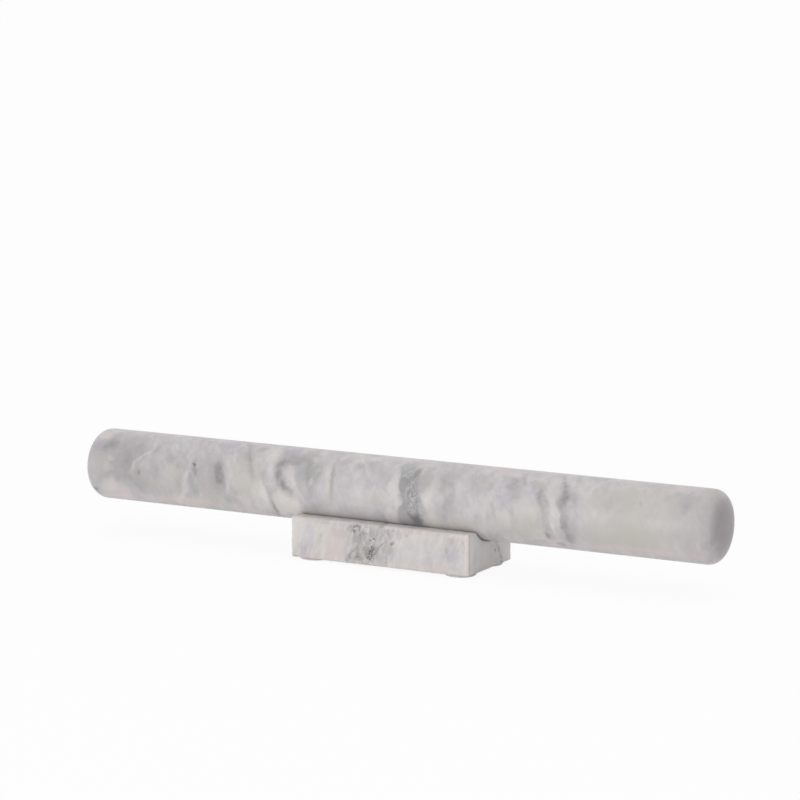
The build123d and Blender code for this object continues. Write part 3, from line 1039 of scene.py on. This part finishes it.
class TurnRollingPin(bpy.types.Operator):
    """Draws half of the pin's outline by extruding it point by point, and turns it round the pin's axis"""

    bl_idname = "marble_pin.rolling_pin"
    bl_label = "Rolling Pin"

    def execute(self, context):
        settings = context.scene.rolling_pin
        points = pin_profile(settings)
        clear_selection()
        start = (points[0][0], 0, PIN_CENTRE.z + points[0][1])
        bpy.ops.mesh.primitive_plane_add(size=MM, location=start)
        piece = edit_new_piece("rolling_pin_stone")
        bpy.ops.mesh.select_all(action="SELECT")
        bpy.ops.mesh.merge(type="CENTER")
        for (x, out), (next_x, next_out) in zip(points, points[1:]):
            step = (next_x - x, 0, next_out - out)
            bpy.ops.mesh.extrude_vertices_move(TRANSFORM_OT_translate={"value": step})
        bpy.ops.mesh.select_all(action="SELECT")
        bpy.ops.mesh.spin(steps=settings.turn_steps, angle=math.tau, center=PIN_CENTRE, axis=(1, 0, 0))
        close_mesh(HAIR)
        bpy.ops.object.shade_smooth()
        set_piece(piece, "pin", "pin_marble", pin_stone(context.scene.pin_stone), "rolling_pin")
        return {"FINISHED"}


# The cradle

# Longer than this, an edge runs along the cradle, and higher than this, up one of its sides
LONG_EDGE = 100 * MM
UPRIGHT_EDGE = 8 * MM

# Faces across a rounded edge, and the angle from which an edge between faces looks sharp (degrees)
EDGE_STEPS = 4
CRADLE_CREASE = 32

# Small breaks along the cradle's edges. Each edge goes by the way out of the stone there: to the right, to
# the back and up. A break gives how far along the edge it is, its radius and its depth (mm).
CRADLE_CHIPS = {
    (1, -1, 0): (
        (25.6, 3, 0.5), (21, 2.2, 0.42), (16.8, 3.4, 0.5),
        (11.5, 2, 0.4), (7.2, 3, 0.55), (4, 1.8, 0.4),
    ),
    (-1, -1, 0): ((9, 3, 0.45), (20, 2.4, 0.35)),
    (0, -1, 1): ((-44, 3, 0.4), (-14, 2.4, 0.45), (3.5, 2.8, 0.45), (31, 3.4, 0.38), (55, 2.4, 0.42)),
    (0, -1, -1): ((-58.5, 4.2, 0.95), (-20, 2.6, 0.45), (24, 3.2, 0.42), (61, 2.4, 0.45)),
    (1, 0, -1): ((-20, 2.6, 0.42), (6, 3, 0.45), (24, 2.4, 0.42)),
    (1, 1, 0): ((8, 2.8, 0.42), (19, 2.4, 0.45)),
    (-1, 1, 0): ((13, 3.2, 0.45),),
    (0, 1, 1): ((-35, 3, 0.42), (12, 2.2, 0.42), (48, 3, 0.45)),
    (0, 1, -1): ((-8, 3, 0.45), (40, 2.6, 0.42)),
    (-1, 0, -1): ((-10, 3, 0.45), (18, 2.4, 0.42)),
}


def edge_place(outwards, along):
    """A point on one of the cradle's outer edges."""
    sides = zip(BLOCK_LOW, BLOCK_HIGH, outwards)
    return Vector([(low, along * MM, high)[side + 1] for low, high, side in sides])


def make_chip_cutter(edge_radius):
    """All the breaks as one set of rough balls, each turned its own way, that reach into the edges."""
    balls = []
    rounded_off = edge_radius * (math.sqrt(2) - 1)
    breaks = [(outwards, *row) for outwards, rows in CRADLE_CHIPS.items() for row in rows]
    for number, (outwards, along, radius, depth) in enumerate(breaks):
        out = Vector(outwards).normalized()
        centre = edge_place(outwards, along) + out * (radius * MM - depth * MM - rounded_off)
        place = {"location": centre, "rotation": (number, 2 * number, 0)}
        bpy.ops.mesh.primitive_ico_sphere_add(subdivisions=3, radius=radius * MM, **place)
        balls.append(bpy.context.object)
    for ball in balls:
        ball.select_set(True)
    bpy.context.view_layer.objects.active = balls[0]
    bpy.ops.object.join()
    cutter = bpy.context.object
    cutter.name = "chip_cutter"
    bpy.ops.object.transform_apply(location=True, rotation=True, scale=True)
    return cutter


def edge_closeness(point, settings):
    """1 on an edge of the cradle, falling to 0 at the wear width, by the second nearest face."""
    groove_axis = BLOCK_HIGH.z - settings.groove_depth + settings.groove_radius
    from_groove = abs(math.hypot(point.y, point.z - groove_axis) - settings.groove_radius)
    gaps = sorted((*(point - BLOCK_LOW), *(BLOCK_HIGH - point), from_groove))
    share = max(0.0, 1 - gaps[1] / settings.wear_width)
    return share * share * (3 - 2 * share)


def cut_groove(piece, settings):
    """Cuts the block lengthwise and lowers the cuts to the groove's arc. Returns half its width."""
    radius = settings.groove_radius
    axis_height = BLOCK_HIGH.z - settings.groove_depth + radius
    half_angle = math.acos((radius - settings.groove_depth) / radius)
    steps = settings.groove_steps
    columns = [half_angle * step / steps for step in range(-steps, steps + 1)]
    for angle in columns:
        bpy.ops.mesh.select_all(action="SELECT")
        bpy.ops.mesh.bisect(plane_co=(0, radius * math.sin(angle), 0), plane_no=(0, 1, 0))
    for angle in columns[1:-1]:
        side = radius * math.sin(angle)
        drop = axis_height - radius * math.cos(angle) - BLOCK_HIGH.z
        pick(piece, "VERT", lambda v: abs(v.co.y - side) < HAIR and v.co.z > BLOCK_HIGH.z - HAIR)
        bpy.ops.transform.translate(value=(0, 0, drop))
    return radius * math.sin(half_angle)


def ease_edges(piece, groove_edge, settings):
    """Rounds the outer edges, and the two beside the groove more."""
    weights = piece.data.attributes.new("bevel_weight_edge", "FLOAT", "EDGE")
    for edge in piece.data.edges:
        a, b = (piece.data.vertices[number].co for number in edge.vertices)
        at_end = abs(a.x - b.x) < MM and min(abs(a.x - BLOCK_LOW.x), abs(a.x - BLOCK_HIGH.x)) < HAIR
        runs_along = abs(a.x - b.x) > MM
        outside = abs(abs(a.y) - BLOCK_HIGH.y) < HAIR and runs_along
        beside_groove = runs_along and abs(abs(a.y) - groove_edge) < HAIR and a.z > BLOCK_HIGH.z - HAIR
        inside_end = at_end and abs(a.y - b.y) < HAIR and abs(a.y) < BLOCK_HIGH.y - HAIR
        if outside or (at_end and not inside_end):
            weights.data[edge.index].value = 1.0
        elif beside_groove:
            weights.data[edge.index].value = settings.groove_edge_radius / settings.edge_radius
    limits = {"limit_method": "WEIGHT", "offset_type": "OFFSET", "use_clamp_overlap": False}
    apply_modifier(piece, "BEVEL", width=settings.edge_radius, segments=EDGE_STEPS, **limits)


def wear_edges(piece, settings):
    """Presses the stone in by uneven grit wherever an edge is near."""
    worn = piece.vertex_groups.new(name="worn_edges")
    for vertex in piece.data.vertices:
        share = edge_closeness(vertex.co, settings)
        if share > 0:
            worn.add([vertex.index], share, "REPLACE")
    grit = bpy.data.textures.new("edge_wear", "CLOUDS")
    grit.noise_scale = 2.2 * MM
    grit.noise_depth = 2
    grit.contrast = 1.6
    pressed_in = {"direction": "NORMAL", "mid_level": 1.0, "strength": settings.wear_depth}
    where = {"texture": grit, "texture_coords": "LOCAL", "vertex_group": worn.name}
    apply_modifier(piece, "DISPLACE", **where, **pressed_in)


class CutCradle(bpy.types.Operator):
    """Cuts the groove into a block, eases its edges and wears and chips them"""

    bl_idname = "marble_pin.cradle"
    bl_label = "Cradle"

    def execute(self, context):
        settings = context.scene.cradle
        clear_selection()
        bpy.ops.mesh.primitive_cube_add(size=1, location=BLOCK_CENTRE, scale=BLOCK_HIGH - BLOCK_LOW)
        piece = edit_new_piece("cradle_stone")
        groove_edge = cut_groove(piece, settings)
        bpy.ops.object.mode_set(mode="OBJECT")
        ease_edges(piece, groove_edge, settings)

        # A regular net of faces, fine enough for worn edges
        bpy.ops.object.mode_set(mode="EDIT")
        pick(piece, "EDGE", lambda e: abs(e.verts[0].co.x - e.verts[1].co.x) > LONG_EDGE)
        bpy.ops.mesh.subdivide(number_cuts=settings.slices, quadcorner="INNERVERT")
        pick(piece, "EDGE", lambda e: abs(e.verts[0].co.z - e.verts[1].co.z) > UPRIGHT_EDGE)
        bpy.ops.mesh.subdivide(number_cuts=settings.layers, quadcorner="INNERVERT")
        bpy.ops.object.mode_set(mode="OBJECT")
        wear_edges(piece, settings)

        clear_selection()
        cutter = make_chip_cutter(settings.edge_radius)
        apply_modifier(piece, "BOOLEAN", object=cutter, operation="DIFFERENCE", solver="EXACT")
        bpy.data.objects.remove(cutter)
        clear_selection()
        piece.select_set(True)
        bpy.context.view_layer.objects.active = piece
        bpy.ops.object.mode_set(mode="EDIT")
        close_mesh(HAIR / 2)
        bpy.ops.object.shade_smooth_by_angle(angle=math.radians(CRADLE_CREASE))
        set_piece(piece, "cradle", "cradle_marble", cradle_stone(context.scene.cradle_stone), "cradle_block")
        return {"FINISHED"}


# Feet and adhesive

# The dish under a foot: the width of each of its rings, and each ring's share of its depth
DISH_RING = 1.6 * MM
DISH_SHARES = (0.5, 0.35, 0.15)

# The widths of the rings on top of a foot
TOP_RINGS = (0.4 * MM, 4 * MM)

# Faces across a foot's rim, and the angle from which an edge between faces looks sharp (degrees)
RIM_STEPS = 6
FOOT_CREASE = 35


class MouldFeet(bpy.types.Operator):
    """Moulds one foot as a disc with a rounded lower rim and a shallow dish, and copies it to each corner"""

    bl_idname = "marble_pin.feet"
    bl_label = "Feet"

    def execute(self, context):
        settings = context.scene.feet
        low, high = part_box("foot_front_left")
        centre = (low + high) / 2
        clear_selection()
        size = {"radius": (high.x - low.x) / 2, "depth": high.z - low.z}
        bpy.ops.mesh.primitive_cylinder_add(vertices=settings.sides, location=centre, **size)
        first = edit_new_piece("foot_pad_front_left")
        pick(first, "FACE", lambda f: f.normal.z < -NEARLY_LEVEL)
        bpy.ops.mesh.bevel(offset=settings.rim_radius, segments=RIM_STEPS, affect="EDGES")
        pick(first, "FACE", lambda f: f.normal.z < -LEVEL and f.calc_center_median().z < low.z + HAIR)
        bpy.ops.mesh.inset(thickness=settings.dish_margin)
        for share in DISH_SHARES:
            bpy.ops.mesh.inset(thickness=DISH_RING)
            bpy.ops.transform.translate(value=(0, 0, settings.dish_depth * share))

        # Rings on the upper face, which keep its shading flat
        pick(first, "FACE", lambda f: f.normal.z > NEARLY_LEVEL)
        for width in TOP_RINGS:
            bpy.ops.mesh.inset(thickness=width)
        bpy.ops.mesh.select_all(action="SELECT")
        bpy.ops.mesh.normals_make_consistent(inside=False)
        bpy.ops.object.mode_set(mode="OBJECT")
        bpy.ops.object.shade_smooth_by_angle(angle=math.radians(FOOT_CREASE))
        feet = {FOOT_CORNERS[0]: first}
        for corner in FOOT_CORNERS[1:]:
            corner_low, corner_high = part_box(f"foot_{corner}")
            clear_selection()
            first.select_set(True)
            bpy.context.view_layer.objects.active = first
            bpy.ops.object.duplicate(linked=False)
            foot = bpy.context.object
            foot.name = f"foot_pad_{corner}"
            foot.data.name = foot.name
            foot.location = (corner_low + corner_high) / 2 - centre
            bpy.ops.object.transform_apply(location=True, rotation=False, scale=False)
            feet[corner] = foot
        # Each foot gets its material and its body after the copying, and hides only its own node
        material = foot_material()
        for corner, foot in feet.items():
            set_piece(foot, "cradle", "clear_foot", material, f"foot_{corner}")
        return {"FINISHED"}


class CoatAdhesive(bpy.types.Operator):
    """Gives the adhesive films between the feet and the cradle their milky material"""

    bl_idname = "marble_pin.adhesive"
    bl_label = "Adhesive Films"

    def execute(self, context):
        material = adhesive_material()
        for corner in FOOT_CORNERS:
            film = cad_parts[f"foot_adhesive_{corner}"]
            for slot in film.material_slots:
                slot.material = material
        return {"FINISHED"}


# The stage

# The soft key light: its middle, its width and its height (m)
KEY_PLACE = (-0.5, -2.6, 0.35)
KEY_WIDTH = 1.7
KEY_HEIGHT = 0.66

# The floor's side (m), its cuts, and how far it is washed towards white where the camera sees it
FLOOR_SIDE = 60
FLOOR_CUTS = 6
FLOOR_WASH = 0.91


def add_camera(settings):
    sin, cos = math.sin(settings.azimuth), math.cos(settings.azimuth)
    level = math.cos(settings.elevation)
    back = Vector((sin * level, -cos * level, math.sin(settings.elevation)))
    right = Vector((cos, sin, 0))
    up = back.cross(right)
    place = PIN_CENTRE + back * settings.distance
    aim = PIN_CENTRE + right * settings.aim_right + up * settings.aim_up
    turn = (aim - place).to_track_quat("-Z", "Y").to_euler()
    bpy.ops.object.camera_add(location=place, rotation=turn)
    camera = bpy.context.object
    camera.name = "camera"
    camera.data.lens = settings.lens
    camera.data.sensor_width = 36
    camera.data.clip_end = 100
    bpy.context.scene.camera = camera


def add_key_light(power):
    turn = (PIN_CENTRE - Vector(KEY_PLACE)).to_track_quat("-Z", "Y").to_euler()
    bpy.ops.object.light_add(type="AREA", location=KEY_PLACE, rotation=turn)
    light = bpy.context.object
    light.name = "key_light"
    light.data.shape = "RECTANGLE"
    light.data.size = KEY_WIDTH
    light.data.size_y = KEY_HEIGHT
    light.data.energy = power


def floor_material(settings):
    """Pale matt floor. The camera sees it washed towards white, and it keeps the object's shadow."""
    material, sheet = new_material("studio_floor")
    place = sheet.node("ShaderNodeTexCoord")[OBJECT]
    mottle = sheet.noise(place, 0.4, detail=3)
    colour = sheet.mix(mottle, settings.floor, shown(248, 248, 248))
    matt = sheet.node("ShaderNodeBsdfDiffuse", None, {"Color": colour})[0]
    white = sheet.node("ShaderNodeEmission", None, {"Color": (1, 1, 1, 1), "Strength": 1.0})[0]
    path = sheet.node("ShaderNodeLightPath")
    seen = sheet.maths("MAXIMUM", path[CAMERA_RAY], path[GLOSSY_RAY]) * FLOOR_WASH
    surface = sheet.node("ShaderNodeMixShader", None, {0: seen, 1: matt, 2: white})[0]
    sheet.node("ShaderNodeOutputMaterial", None, {"Surface": surface})
    return material


def white_surround(settings):
    """Even light, stronger from above and a little weaker from the right, that looks plain white."""
    world = bpy.data.worlds.new("white_surround")
    world.use_nodes = True
    sheet = Sheet(world.node_tree)
    path = sheet.node("ShaderNodeLightPath")
    seen = sheet.maths("MAXIMUM", path[CAMERA_RAY], path[GLOSSY_RAY])
    seen = sheet.maths("MAXIMUM", seen, path[TRANSMISSION_RAY])
    to_right, _, upwards = sheet.axes(sheet.node("ShaderNodeTexCoord")[GENERATED])
    light = sheet.fade(to_right, 0.2, 1.0, 1, 1 - settings.right_shade)
    light = light * sheet.fade(upwards, 0.35, 1.0, settings.surround, settings.surround * settings.overhead)
    strength = seen + (1 - seen) * light
    white = sheet.node("ShaderNodeBackground", None, {"Color": (1, 1, 1, 1), "Strength": strength})[0]
    sheet.node("ShaderNodeOutputWorld", None, {"Surface": white})
    return world


class SetStage(bpy.types.Operator):
    """Sets the camera, the pale floor, the soft key light and the white surround"""

    bl_idname = "marble_pin.stage"
    bl_label = "Stage"

    def execute(self, context):
        settings = context.scene.stage
        clear_selection()
        add_camera(settings)
        bpy.ops.mesh.primitive_plane_add(size=FLOOR_SIDE, location=(0, 0, 0))
        floor = edit_new_piece("studio_floor")
        bpy.ops.mesh.select_all(action="SELECT")
        bpy.ops.mesh.subdivide(number_cuts=FLOOR_CUTS)
        bpy.ops.object.mode_set(mode="OBJECT")
        floor.data.materials.append(floor_material(settings))
        add_key_light(settings.key_power)
        context.scene.world = white_surround(settings)
        context.scene.view_settings.view_transform = "Standard"
        return {"FINISHED"}


# The panel and the run

GROUPS = {
    "rolling_pin": RollingPinSettings,
    "cradle": CradleSettings,
    "feet": FootSettings,
    "pin_stone": PinStoneSettings,
    "cradle_stone": CradleStoneSettings,
    "stage": StageSettings,
}
OPERATORS = (TurnRollingPin, CutCradle, MouldFeet, CoatAdhesive, SetStage)


class RollingPinPanel(bpy.types.Panel):
    bl_idname = "VIEW3D_PT_marble_pin"
    bl_label = "Marble Rolling Pin"
    bl_space_type = "VIEW_3D"
    bl_region_type = "UI"
    bl_category = "Rolling Pin"

    def draw(self, context):
        for operator in OPERATORS:
            self.layout.operator(operator.bl_idname)
        for name, group in GROUPS.items():
            box = self.layout.box()
            box.label(text=name.replace("_", " ").capitalize())
            for setting in group.__annotations__:
                box.prop(getattr(context.scene, name), setting)


def register():
    for group in GROUPS.values():
        bpy.utils.register_class(group)
    for name, group in GROUPS.items():
        setattr(bpy.types.Scene, name, PointerProperty(type=group))
    for operator in OPERATORS:
        bpy.utils.register_class(operator)
    bpy.utils.register_class(RollingPinPanel)


def unregister():
    bpy.utils.unregister_class(RollingPinPanel)
    for operator in reversed(OPERATORS):
        bpy.utils.unregister_class(operator)
    for name, group in reversed(GROUPS.items()):
        delattr(bpy.types.Scene, name)
        bpy.utils.unregister_class(group)


def main():
    register()
    bpy.ops.marble_pin.stage()
    bpy.ops.marble_pin.rolling_pin()
    bpy.ops.marble_pin.cradle()
    bpy.ops.marble_pin.feet()
    bpy.ops.marble_pin.adhesive()


if __name__ == "__main__":
    main()
